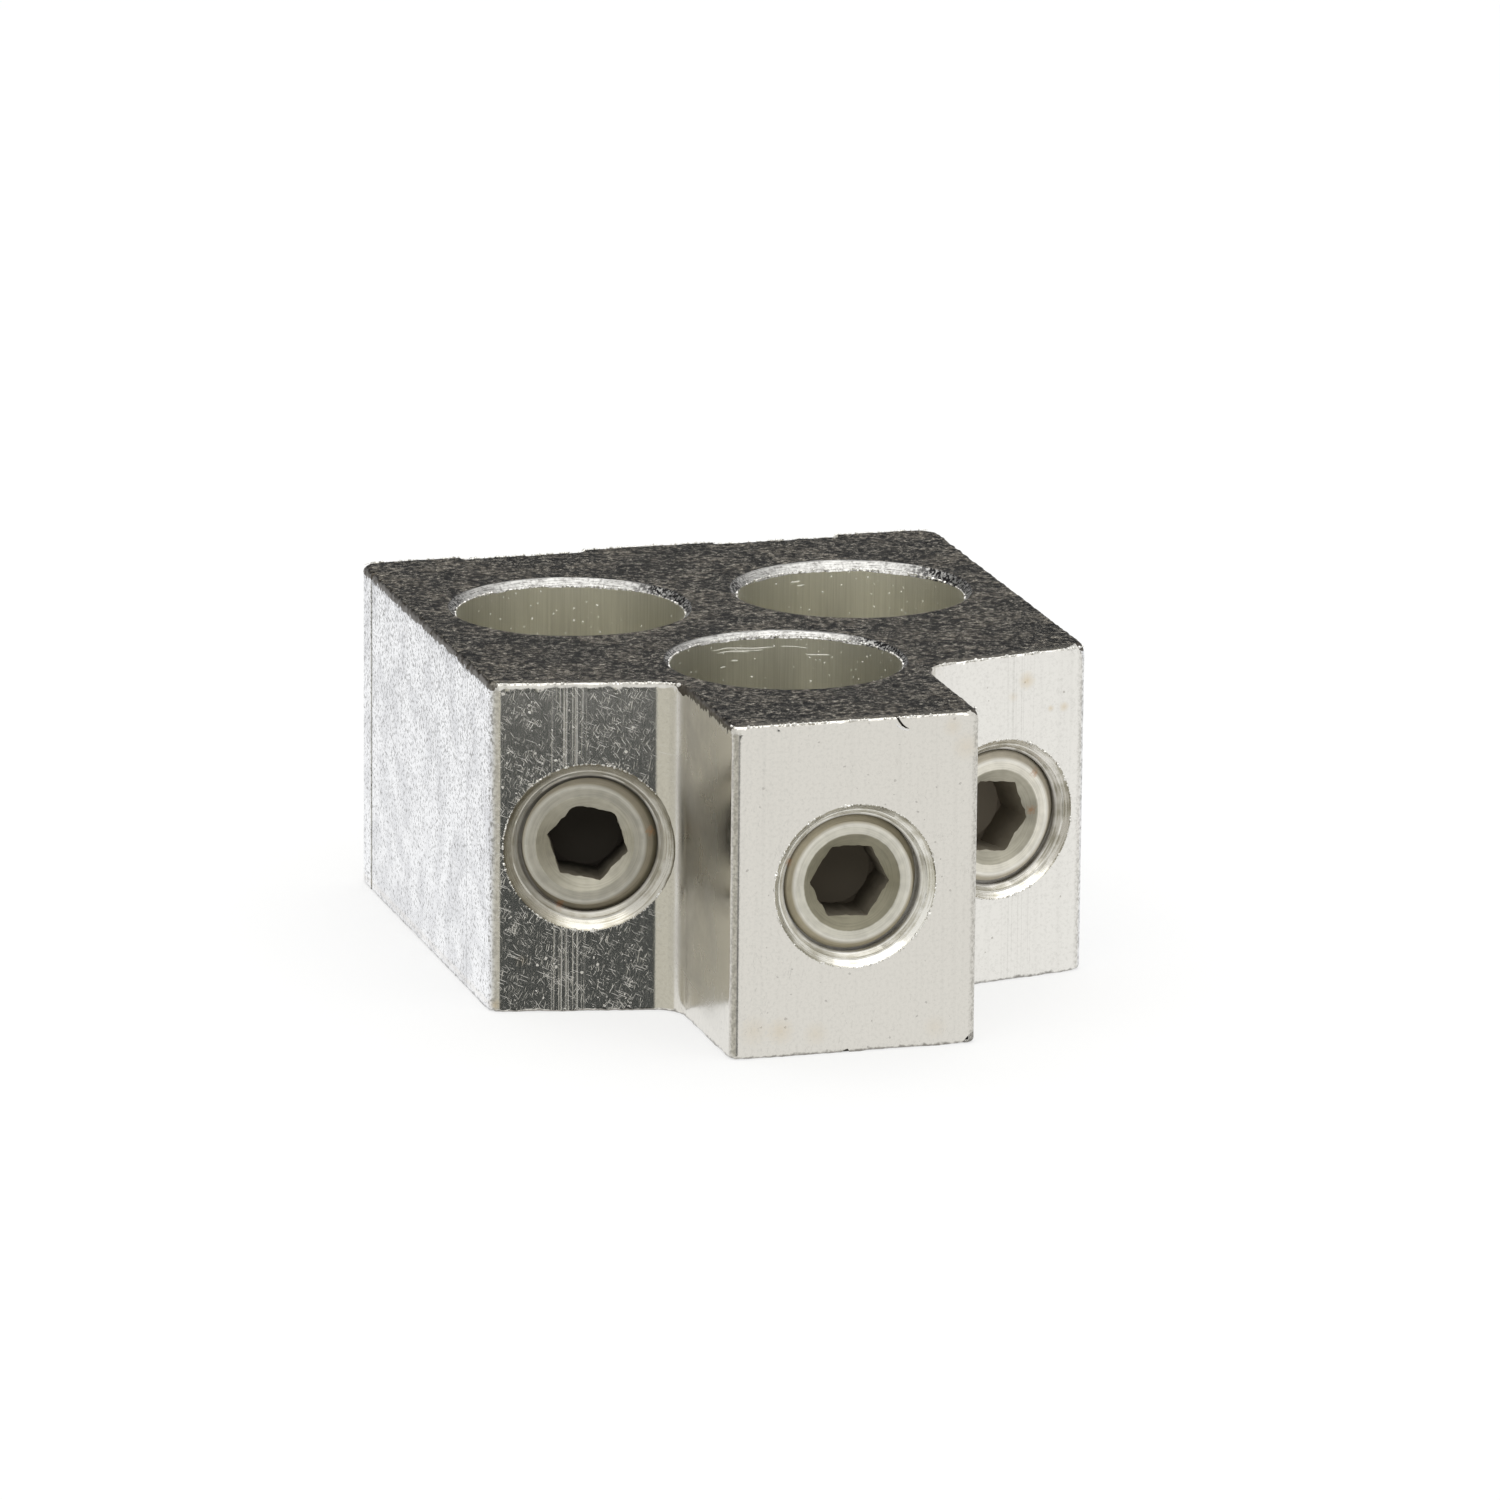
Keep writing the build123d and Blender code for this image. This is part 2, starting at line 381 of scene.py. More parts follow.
def tinPlatedExtrusion():
    # tin plate on extruded aluminium: silvery, near mirror-like, with upright die lines, dents, pits, scratches
    made, tree, spot = startFinish("tin_plated_extrusion")
    upright = add(tree, "VectorMath", spot, (1, 1, 0.01), operation="MULTIPLY")
    streak = add(tree, "TexNoise", upright, Scale=1 / tinned["streak"], Detail=3.0)
    mottle = add(tree, "TexNoise", spot, Scale=1 / tinned["mottle"], Detail=4.0, Roughness=0.65)
    cloud = add(tree, "TexNoise", spot, Scale=1 / tinned["cloud"], Detail=3.0)
    torn = add(tree, "TexNoise", spot, Scale=1 / tinned["torn"], Detail=4.0)
    busy = add(tree, "MapRange", cloud, *tinned["busy"])
    # where on the block
    x, y, z = add(tree, "SeparateXYZ", spot, out=slice(3))
    outer = add(tree, "Math", x, operation="ABSOLUTE")
    side = add(tree, "MapRange", outer, halfWidth - 0.6, halfWidth - 0.1)
    onSide = add(tree, "Math", outer, halfWidth - 0.5, operation="GREATER_THAN")
    ahead = add(tree, "Math", y, wingFaceY(noseX) + 1.0, operation="LESS_THAN")
    # painted light: the right side and the right wing are painted lighter towards the front
    nearFront = add(tree, "MapRange", y, 20.0, 0.0)
    paintedLightRightWing = add(tree, "MapRange", x, 14.0, 17.0)
    paintedLightRightWing = add(tree, "Math", paintedLightRightWing, nearFront, operation="MULTIPLY")
    onWing = add(tree, "MapRange", outer, 17.4, 18.4)
    leftWing = add(tree, "MapRange", x, -17.0, -17.8, 0.3)
    # a group of uneven die lines, the same on both wings
    slowly = add(tree, "Math", z, 0.006, operation="MULTIPLY")
    dies = add(tree, "TexNoise", add(tree, "CombineXYZ", outer, slowly), Scale=1 / tinned["dieWidth"], Detail=1.0,
               noise_dimensions="2D")
    dies = add(tree, "MapRange", dies, *tinned["dies"])
    dies = add(tree, "Math", dies, nearTo(tree, outer, *tinned["dieBand"]), operation="MULTIPLY")
    # short scratches, straight on the face that they are on
    onFace = add(tree, "CombineXYZ", add(tree, "Math", x, y, operation="ADD"), z)
    scratches = []
    for turn in tinned["scratchTurns"]:
        laid = add(tree, "Mapping", onFace, Rotation=(0, 0, radians(turn)), Scale=tinned["scratch"],
                   vector_type="TEXTURE")
        strokes = add(tree, "TexNoise", laid, Scale=1.0, Detail=1.0)
        scratches.append(add(tree, "MapRange", strokes, *tinned["scratched"]))
    scratches = combined(tree, "MAXIMUM", *scratches)
    scattered = add(tree, "MapRange", busy, *tinned["scattered"])
    scratches = add(tree, "Math", scratches, scattered, operation="MULTIPLY")
    # faint upright lines that the die drew
    drawn = add(tree, "VectorMath", spot, (1, 1, 0.03), operation="MULTIPLY")
    drawn = add(tree, "TexNoise", drawn, Scale=1 / tinned["drawn"], Detail=1.0)
    drawn = add(tree, "MapRange", drawn, *tinned["drawnLines"])
    # knocks and pits of 0.1 to 0.3 mm, and finer specks in clusters
    cell, chance = add(tree, "TexVoronoi", frayed(tree, spot, tinned["fray"]), Scale=1 / tinned["fleck"],
                       out=slice(2))
    size, depth, luck = add(tree, "SeparateColor", chance, out=slice(3))
    flecks = add(tree, "Math", size, -0.13, cell, operation="MULTIPLY_ADD")
    flecks = add(tree, "MapRange", flecks, *tinned["flecked"])
    kept = add(tree, "Math", luck, tinned["keptFlecks"], operation="GREATER_THAN")
    flecks = add(tree, "Math", flecks, kept, operation="MULTIPLY")
    pitted = add(tree, "Math", depth, tinned["pits"], operation="GREATER_THAN")
    pitted = add(tree, "Math", pitted, flecks, operation="MULTIPLY")
    dented = add(tree, "TexNoise", spot, Scale=1 / tinned["speck"], Detail=1.0)
    dented = add(tree, "MapRange", dented, *tinned["dented"])
    dented = combined(tree, "MULTIPLY", dented, busy, onWing)
    hammered = add(tree, "Math", z, 0.0012, mottle, operation="MULTIPLY_ADD")
    hammered = add(tree, "MapRange", hammered, *tinned["hammered"])
    hammered = add(tree, "Math", hammered, side, operation="MULTIPLY")
    cloudy = add(tree, "Math", busy, side, operation="MULTIPLY")
    # colour
    lines = add(tree, "MapRange", streak, *tinned["streaked"])
    lines = add(tree, "Math", dies, 0.16, lines, operation="MULTIPLY_ADD")
    lines = add(tree, "Math", lines, add(tree, "MapRange", mottle, *tinned["faint"]), operation="ADD")
    # painted light: the side faces take a lighter, cooler colour than the rest of the tin
    base = layered(tree, linear(tinned["warm"]), (paintedLightRightWing, tinned["bright"]), (side, tinned["cool"]),
                   (cloudy, tinned["cloudy"]), (hammered, tinned["dull"]), (lines, tinned["shade"]),
                   (pitted, tinned["pit"]))
    for middle, width, most in tinned["sideLines"]:
        line = nearTo(tree, y, middle, width, width * 0.6, most)
        base = layered(tree, base, (add(tree, "Math", line, onSide, operation="MULTIPLY"), tinned["dull"]))
    base = stained(tree, base, spot, mottle, tinned["stain"],
                   [(*where, size, size * 0.4, size * 1.5, most) for *where, size, most in tinned["stains"]])
    # the nose's sides are painted darker down towards the wings, as painted shade, fading out near the foot
    onNoseSide = add(tree, "MapRange", outer, noseX + 1.4, noseX + 0.2)
    deepInShade = add(tree, "MapRange", y, noseY + 1.0, noseY + 9.0, 0.0, 0.42)
    aboveFoot = add(tree, "MapRange", z, 1.5, 5.5)
    blotch = add(tree, "MapRange", cloud, *tinned["blotch"])
    deepInShade = combined(tree, "MULTIPLY", deepInShade, onNoseSide, aboveFoot, ahead, blotch)
    # sawn metal that laps over the top edge, further on the side faces, and darker along the foot
    lap = add(tree, "MapRange", outer, halfWidth - 0.9, halfWidth - 0.6, 0.3, 2.0)
    behind = add(tree, "Math", y, noseY + 0.8, operation="GREATER_THAN")
    noseLap = combined(tree, "MULTIPLY", nearTo(tree, outer, noseX, 0.9, 0.5, 2.0), behind, ahead)
    lap = add(tree, "Math", lap, noseLap, operation="MAXIMUM")
    lap = add(tree, "Math", lap, torn, z, operation="MULTIPLY_ADD")
    lapped = add(tree, "MapRange", lap, height + 0.06, height + 0.14)
    foot = add(tree, "Math", torn, 0.9, z, operation="MULTIPLY_ADD")
    foot = add(tree, "MapRange", foot, 0.85, 0.6, 0.0, 0.7)
    base = layered(tree, base, (deepInShade, tinned["shade"]), (lapped, tinned["lapped"]), (foot, tinned["lapped"]))
    # roughness and relief: hazier near the top of the wings, worn along the outer edges
    worn = combined(tree, "MAXIMUM", dented, scratches, flecks, drawn)
    worn = add(tree, "Math", worn, leftWing, operation="MULTIPLY")
    worn = add(tree, "Math", dies, 0.32, worn, operation="MULTIPLY_ADD")
    haze = add(tree, "Math", cloud, 14.0, z, operation="MULTIPLY_ADD")
    haze = add(tree, "MapRange", haze, 35.0, 47.0, 0.0, 0.06)
    burred = add(tree, "MapRange", lap, height - 0.3, height - 0.15, 0.0, 0.6)
    grey = add(tree, "MapRange", mottle, *tinned["grey"])
    place = add(tree, "CombineXYZ", outer, y)
    edges = []
    for cornerX, cornerY, size, dirt in tinned["wornEdges"]:
        away = add(tree, "VectorMath", place, (cornerX, cornerY, 0), out="Value", operation="DISTANCE")
        edges.append(add(tree, "MapRange", away, size, size * 0.55, 0.0, 0.5))
        dirty = add(tree, "Math", grey, edges[-1], operation="MULTIPLY")
        dirty = add(tree, "Math", dirty, 4 * dirt, operation="MULTIPLY", use_clamp=True)
        base = layered(tree, base, (dirty, tinned["edge"]))
    soft = combined(tree, "MAXIMUM", haze, burred, *edges, deepInShade, worn)
    rough = add(tree, "MapRange", soft, 0.0, 1.0, *tinned["rough"])
    relief = add(tree, "Math", streak, 0.35, worn, operation="MULTIPLY_ADD")
    relief = add(tree, "Math", burred, torn, relief, operation="MULTIPLY_ADD")
    closeFinish(tree, base, rough, relief=relief, depth=tinned["depth"])
    return made


bored = {
    "dull": "d9d7ca", "bright": "efede1", "mark": "f2f1ea", "rough": (0.34, 0.75), "depth": 0.01, "streak": 0.18,
    "cloud": 5.0, "fleck": 0.9, "fray": 0.25, "specks": (0.13, 0.05), "tone": (0.45, 1.05), "frontShare": 0.9,
    # level lines that the drill left: x from and to, z, width and whether in the front bore
    "toolMarks": [(-5.4, 2.7, 36.35, 0.07, 1), (-4.6, -0.2, 35.95, 0.06, 1), (-3.0, 1.4, 36.1, 0.04, 1),
                  (5.8, 8.4, 35.75, 0.07, 1), (3.1, 6.2, 36.5, 0.04, 1), (-2.6, -1.7, 34.9, 0.08, 1),
                  (-4.0, -3.3, 34.2, 0.07, 1), (13.3, 14.7, 36.0, 0.1, 0), (14.2, 15.2, 35.5, 0.07, 0)],
}


def boredWall():
    # drilled and tinned wall of a wire bore: satin, with faint upright streaks, bright specks and a drill's marks
    made, tree, spot = startFinish("bored_tinned_wall")
    upright = add(tree, "VectorMath", spot, (1, 1, 0.02), operation="MULTIPLY")
    streak = add(tree, "TexNoise", upright, Scale=1 / bored["streak"], Detail=2.0)
    cloud = add(tree, "TexNoise", upright, Scale=1 / bored["cloud"], Detail=1.0)
    both = add(tree, "Math", cloud, 0.5, streak, operation="MULTIPLY_ADD")
    tone = add(tree, "MapRange", both, *bored["tone"])
    base = layered(tree, linear(bored["dull"]), (tone, bored["bright"]))
    x, y, z = add(tree, "SeparateXYZ", spot, out=slice(3))
    front = add(tree, "Math", y, 0.0, operation="LESS_THAN")
    back = add(tree, "Math", 1.0, front, operation="SUBTRACT")
    dimmed = add(tree, "MapRange", front, 0.0, 1.0, 1.0, bored["frontShare"])
    base = add(tree, "VectorMath", base, Scale=dimmed, operation="SCALE")
    marks = add(tree, "TexVoronoi", frayed(tree, spot, bored["fray"]), Scale=1 / bored["fleck"])
    marks = add(tree, "MapRange", marks, *bored["specks"])
    wavy = add(tree, "Math", cloud, 1.2, z, operation="MULTIPLY_ADD")
    for start, end, level, width, inFront in bored["toolMarks"]:
        half = (end - start) / 2
        near = nearTo(tree, x, (start + end) / 2, half, half * 0.6)
        near = add(tree, "Math", near, front if inFront else back, operation="MULTIPLY")
        line = nearTo(tree, wavy, level + 0.6, width, width * 0.4, 0.7)
        line = add(tree, "Math", line, near, operation="MULTIPLY")
        marks = add(tree, "Math", marks, line, operation="MAXIMUM")
    base = layered(tree, base, (marks, bored["mark"]))
    rough = add(tree, "MapRange", marks, 0.0, 1.0, *bored["rough"])
    relief = add(tree, "Math", marks, 4.0, streak, operation="MULTIPLY_ADD")
    closeFinish(tree, base, rough, relief=relief, depth=bored["depth"])
    return made


rimLook = {"bright": "bdbcb8", "dull": "757370", "dark": "232223", "rough": (0.32, 0.55), "depth": 0.03,
           "ring": 0.11, "arc": 2.2, "fleck": 0.4, "tone": (0.78, 1.12), "chatter": (9.6, 12.0),
           "grain": (0.56, 0.48)}


def deburredRim(side):
    # edge broken by hand with a scraper: bright bare metal with fine lines round the bore, its sides painted
    # darker in a mottled grain as a painted dark reflection
    made, tree, spot = startFinish(f"deburred_{side}_rim")
    centred = add(tree, "VectorMath", spot, (*bores[side]["centre"], 0), operation="SUBTRACT")
    x, y, z = add(tree, "SeparateXYZ", centred, out=slice(3))
    flat = add(tree, "VectorMath", centred, (1, 1, 0), operation="MULTIPLY")
    around = add(tree, "VectorMath", flat, out="Value", operation="LENGTH")
    level = add(tree, "Math", around, z, operation="ADD")
    rings = turningMarks(tree, level, y, x, rimLook["ring"], boreRadius / rimLook["arc"])
    fleck = add(tree, "TexNoise", spot, Scale=1 / rimLook["fleck"], Detail=3.0, Roughness=0.65)
    both = add(tree, "Math", rings, fleck, operation="ADD")
    tone = add(tree, "MapRange", both, *rimLook["tone"])
    # painted dark reflection: the rim's sides are darker, in a mottled grain
    chatter = add(tree, "MapRange", add(tree, "Math", x, operation="ABSOLUTE"), *rimLook["chatter"])
    grain = add(tree, "MapRange", fleck, *rimLook["grain"])
    grain = add(tree, "Math", grain, chatter, operation="MULTIPLY")
    # and torn dark along its outer edge
    lean = bores[side]["backHeavy"] / boreRadius
    lean = add(tree, "VectorMath", centred, (lean * cos(backHeavyWay), lean * sin(backHeavyWay), 0), out="Value",
               operation="DOT_PRODUCT")
    edge = add(tree, "Math", around, lean, operation="SUBTRACT")
    edge = add(tree, "Math", fleck, 0.3, edge, operation="MULTIPLY_ADD")
    widest = boreRadius + bores[side]["rim"] + 0.15
    edge = add(tree, "MapRange", edge, widest - 0.14, widest + 0.02, 0.0, 0.8)
    # dark where torn along the outer edge, and the painted dark reflection at the sides
    torn = add(tree, "Math", grain, edge, operation="MAXIMUM")
    base = layered(tree, linear(rimLook["dull"]), (tone, rimLook["bright"]), (torn, rimLook["dark"]))
    rough = add(tree, "MapRange", torn, 0.0, 1.0, *rimLook["rough"])
    closeFinish(tree, base, rough, relief=both, depth=rimLook["depth"])
    return made


rust = {"colour": "a8784e", "size": 0.35, "form": (1.4, 0.75, 1.3, 0.6)}


def withRust(tree, spot, base, port):
    # small rust stains where the steel of a tap or a key has rubbed off
    fraying = add(tree, "TexNoise", spot, Scale=1 / rust["size"], Detail=3.0)
    return stained(tree, base, spot, fraying, rust["colour"], [(*where, *rust["form"]) for where in port["rust"]])


# painted light: each side's mouth colours are a lighter or darker copy of one finish
mouthLook = {"dull": {"left": "a5a091", "nose": "bdb9ab", "right": "a8a495"},
             "bright": {"left": "c4c1b7", "nose": "e6e4dc", "right": "dedbd3"}, "grime": "4a4236",
             "rough": 0.24, "depth": 0.011, "ring": 0.17, "arc": 7.0, "cloud": 1.8, "tone": (0.78, 1.08),
             "deep": (7.92, 8.1, 0.6, 0.0), "filmed": (7.9, 9.2, 0.25)}


def countersunkMouth(side):
    # countersink cut in tinned aluminium: shiny, in rings that the tool left as it chattered
    port = portSizes[side]
    made, tree, spot = startFinish(f"countersunk_{side}_mouth")
    radius, _, across = fromAxis(tree, spot, port)
    cloud = add(tree, "TexNoise", spot, Scale=1 / mouthLook["cloud"], Detail=3.0)
    rings = toolRings(tree, radius, across, mouthLook)
    tone = add(tree, "MapRange", add(tree, "Math", rings, cloud, operation="ADD"), *mouthLook["tone"])
    # darker where the countersink meets the gap by the screw: grime, and painted shade in the gap
    deep = add(tree, "MapRange", radius, *mouthLook["deep"])
    filmed = add(tree, "MapRange", radius, *mouthLook["filmed"])
    base = layered(tree, linear(mouthLook["dull"][side]), (tone, mouthLook["bright"][side]),
                   (deep, mouthLook["grime"]))
    base = withRust(tree, spot, base, port)
    closeFinish(tree, base, mouthLook["rough"], filmed, rings, mouthLook["depth"])
    return made


# painted light: each side's screw colours are a lighter or darker copy of one finish
screwLook = {"cone": {"left": "aca899", "nose": "888472", "right": "a5a192"}, "rough": 0.42, "depth": 0.008,
             "ring": 0.13, "arc": 9.0, "cloud": 1.2, "shade": (0.75, 1.2, 0.88, 1.08),
             "filmed": (6.6, 7.1, 1.0, 0.25),
             # rings on the driven end, outward from the socket's cone: the radii that each fades in over
             "zones": [((5.58, 5.73), {"left": "b9b5a7", "nose": "c9c6b9", "right": "d8d4c7"}),
                       ((6.38, 6.7), {"left": "cbc8bc", "nose": "d6d3c8", "right": "e2dfd5"}),
                       # the rounded edge and the thread's edge are painted darker, as painted shade from the
                       # mouth's walls and in the gap
                       ((6.74, 7.13), {"left": "8f8774", "nose": "a0977f", "right": "b5ad9b"}),
                       ((7.58, 7.93), {"left": "5f5947", "nose": "5f5947", "right": "5f5947"})]}


def turnedScrew(side):
    # set screw turned from aluminium bar and tinned: satin grey, in fine lathe rings about its axis
    port = portSizes[side]
    made, tree, spot = startFinish(f"turned_{side}_screw")
    radius, _, across = fromAxis(tree, spot, port)
    cloud = add(tree, "TexNoise", spot, Scale=1 / screwLook["cloud"], Detail=3.0)
    rings = toolRings(tree, radius, across, screwLook)
    # the end's ring was faced a little off centre
    ring = add(tree, "VectorMath", across, (-port["offCentre"], 0, 0), out="Value", operation="DISTANCE")
    wavy = add(tree, "Math", cloud, 0.16, ring, operation="MULTIPLY_ADD")
    base = layered(tree, linear(screwLook["cone"][side]),
                   *[(add(tree, "MapRange", wavy, *fade), colour[side]) for fade, colour in screwLook["zones"]])
    shade = add(tree, "MapRange", add(tree, "Math", rings, cloud, operation="ADD"), *screwLook["shade"])
    base = add(tree, "VectorMath", base, Scale=shade, operation="SCALE")
    base = withRust(tree, spot, base, port)
    filmed = add(tree, "MapRange", wavy, *screwLook["filmed"])
    closeFinish(tree, base, screwLook["rough"], filmed, rings, screwLook["depth"])
    return made


# painted shade: each side's socket takes its own darkness at the bottom
socketLook = {"deep": {"left": "38332b", "nose": "5c5548", "right": "7d7567"}, "mouth": "9d9585", "rough": 0.65,
              "metallic": 0.6, "cloud": 1.0, "fade": (-4.5, 0.5)}


def broachedSocket(side):
    # hexagon pushed through by a broach: dull torn metal, painted lighter at the mouth and dark towards the
    # bottom, as painted shade in the socket
    port = portSizes[side]
    made, tree, spot = startFinish(f"broached_{side}_socket")
    along = fromAxis(tree, spot, port)[1]
    cloud = add(tree, "TexNoise", spot, Scale=1 / socketLook["cloud"], Detail=3.0)
    depth = add(tree, "Math", cloud, 2.0, along, operation="MULTIPLY_ADD")
    tone = add(tree, "MapRange", depth, *[level - port["recess"] for level in socketLook["fade"]])
    base = layered(tree, linear(socketLook["deep"][side]), (tone, socketLook["mouth"]))
    closeFinish(tree, base, socketLook["rough"], socketLook["metallic"])
    return made


# the plainer finishes: size and detail of their cloud, its two colours and the roughness
plainLooks = {
    # thread cut with a tap and tinned over: olive, and painted dark as shade down in its hole
    "tapped_thread": (0.7, 3.0, "5d5644", "a09a85", 0.38),
    # slivers and grains that the saw and the countersink raised: bare bright aluminium
    "torn_aluminium_burr": (0.3, 2.0, "b9b6ad", "fbfaf6", 0.35),
}


def plainMetal(name):
    made, tree, spot = startFinish(name)
    size, detail, first, second, rough = plainLooks[name]
    cloud = add(tree, "TexNoise", spot, Scale=1 / size, Detail=detail)
    closeFinish(tree, layered(tree, linear(first), (cloud, second)), rough)
    return made


finishes = {"sawn": sawnAluminium(), "tin": tinPlatedExtrusion(), "bored": boredWall(),
            "thread": plainMetal("tapped_thread"), "burr": plainMetal("torn_aluminium_burr")}
for side in portSizes:
    finishes[f"{side}Rim"] = deburredRim(side)
    finishes[f"{side}Mouth"] = countersunkMouth(side)
    finishes[f"{side}Screw"] = turnedScrew(side)
    finishes[f"{side}Socket"] = broachedSocket(side)
print("materials made")


# Geometry node trees

def openTree(name, inputs):
    tree = bpy.data.node_groups.new(name, "GeometryNodeTree")
    for label, kind in inputs.items():
        tree.interface.new_socket(label, in_out="INPUT", socket_type=f"NodeSocket{kind}")
    tree.interface.new_socket("Geometry", in_out="OUTPUT", socket_type="NodeSocketGeometry")
    return tree, add(tree, "NodeGroupInput", out=slice(len(inputs)))


def closeTree(tree, shape, finish):
    real = add(tree, "GeometryNodeRealizeInstances", shape)
    add(tree, "NodeGroupOutput", add(tree, "GeometryNodeSetMaterial", Geometry=real, Material=finish))
    return tree


def dressWith(thing, tree, **values):
    # the tree as a modifier with its inputs set, then made real
    change = thing.modifiers.new(tree.name, "NODES")
    change.node_group = tree
    for item in tree.interface.items_tree:
        if item.in_out == "INPUT" and item.name in values:
            change[item.identifier] = values[item.name]
    return evaluated(thing)


threadForm = {
    "pitch": 25.4 / 18, "depthInPitches": 0.5413, "steps": 96, "weld": 0.001,
    # a sixty degree thread with a quarter of its pitch flat at the root: root flat, flank, crest flat, flank
    "outline": ((0.0, "root"), (0.25, "root"), (0.5625, "crest"), (0.6875, "crest"), (1.0, "root")),
}


def threadTree():
    # a screw's thread, or the tap's that cuts it: one pitch's outline wound up a helix
    tree, given = openTree("threadedRod", {"Crest": "Float", "Root": "Float", "Pitch": "Float", "Turns": "Int",
                                           "Steps": "Int", "Finish": "Material"})
    crest, root, pitch, turns, steps, finish = given
    corners = len(threadForm["outline"])
    columns = add(tree, "Math", turns, steps, 1.0, operation="MULTIPLY_ADD")
    grid = add(tree, "GeometryNodeMeshGrid", 1.0, 1.0, columns, corners)
    place = add(tree, "SeparateXYZ", add(tree, "GeometryNodeInputPosition"))
    wound = add(tree, "Math", place, 0.5, operation="ADD")
    wound = add(tree, "Math", wound, turns, operation="MULTIPLY")
    corner = add(tree, "Math", add(tree, "GeometryNodeInputIndex"), float(corners), operation="MODULO")
    radius, share = (add(tree, "GeometryNodeIndexSwitch", data_type="FLOAT") for _ in range(2))
    for switch in (radius.node, share.node):
        while len(switch.index_switch_items) < corners:
            switch.index_switch_items.new()
        tree.links.new(corner, switch.inputs["Index"])
    for item, (part, level) in enumerate(threadForm["outline"], 1):
        tree.links.new(crest if level == "crest" else root, radius.node.inputs[item])
        share.node.inputs[item].default_value = part
    angle = add(tree, "Math", wound, 2 * pi, operation="MULTIPLY")
    sides = [add(tree, "Math", add(tree, "Math", angle, operation=way), radius, operation="MULTIPLY")
             for way in ("COSINE", "SINE")]
    level = add(tree, "Math", wound, share, operation="ADD")
    level = add(tree, "Math", level, pitch, operation="MULTIPLY")
    moved = add(tree, "GeometryNodeSetPosition", Geometry=grid, Position=add(tree, "CombineXYZ", *sides, level))
    welded = add(tree, "GeometryNodeMergeByDistance", Geometry=moved, Distance=threadForm["weld"])
    return closeTree(tree, welded, finish)


def burrTree():
    # grains of torn metal scattered in clusters along edges
    tree, given = openTree("edgeBurrs", {"Edges": "Geometry", "Spacing": "Float", "Smallest": "Float",
                                         "Largest": "Float", "Share": "Float", "Cluster": "Float", "Seed": "Int",
                                         "Finish": "Material"})
    edges, spacing, smallest, largest, share, cluster, seed, finish = given
    curve = add(tree, "GeometryNodeMeshToCurve", edges)
    points = add(tree, "GeometryNodeResampleCurve", Curve=curve, Length=spacing, mode="LENGTH")
    scale = add(tree, "Math", 1.0, cluster, operation="DIVIDE")
    crowd = add(tree, "TexNoise", add(tree, "GeometryNodeInputPosition"), Scale=scale)
    luck = add(tree, "FunctionNodeRandomValue", Seed=seed, out=1, data_type="FLOAT")
    luck = add(tree, "Math", luck, 0.5, operation="MULTIPLY")
    limit = add(tree, "Math", crowd, luck, operation="SUBTRACT")
    limit = add(tree, "Math", limit, share, operation="ADD")
    kept = add(tree, "Math", limit, 0.5, operation="GREATER_THAN")
    size = add(tree, "FunctionNodeRandomValue", at={2: smallest, 3: largest}, Seed=seed, out=1, data_type="FLOAT")
    stretch, turn = (add(tree, "FunctionNodeRandomValue", (low,) * 3, (high,) * 3, Seed=seed,
                         data_type="FLOAT_VECTOR") for low, high in ((0.4, 1.3), (0.0, 6.3)))
    stretch = add(tree, "VectorMath", stretch, Scale=size, operation="SCALE")
    grain = add(tree, "GeometryNodeMeshIcoSphere", Radius=1.0, Subdivisions=1)
    grains = add(tree, "GeometryNodeInstanceOnPoints", Points=points, Selection=kept, Instance=grain,
                 Rotation=turn, Scale=stretch)
    return closeTree(tree, grains, finish)


threads = threadTree()


def threadedRod(name, crest, pitch, length, finish, place):
    # rod from z 0 up in its local frame, closed at both ends
    rod = placed(name, bpy.data.meshes.new(name))
    dressWith(rod, threads, Crest=crest, Root=crest - threadForm["depthInPitches"] * pitch, Pitch=pitch,
              Turns=ceil(length / pitch), Steps=threadForm["steps"], Finish=finish)
    shape = bmesh.new()
    shape.from_mesh(rod.data)
    bmesh.ops.remove_doubles(shape, verts=shape.verts, dist=threadForm["weld"])
    ends = bmesh.ops.holes_fill(shape, edges=[edge for edge in shape.edges if edge.is_boundary], sides=0)["faces"]
    bmesh.ops.poke(shape, faces=ends)
    storeShape(shape, rod.data)
    rod.data.transform(place)
    return rod


# Block

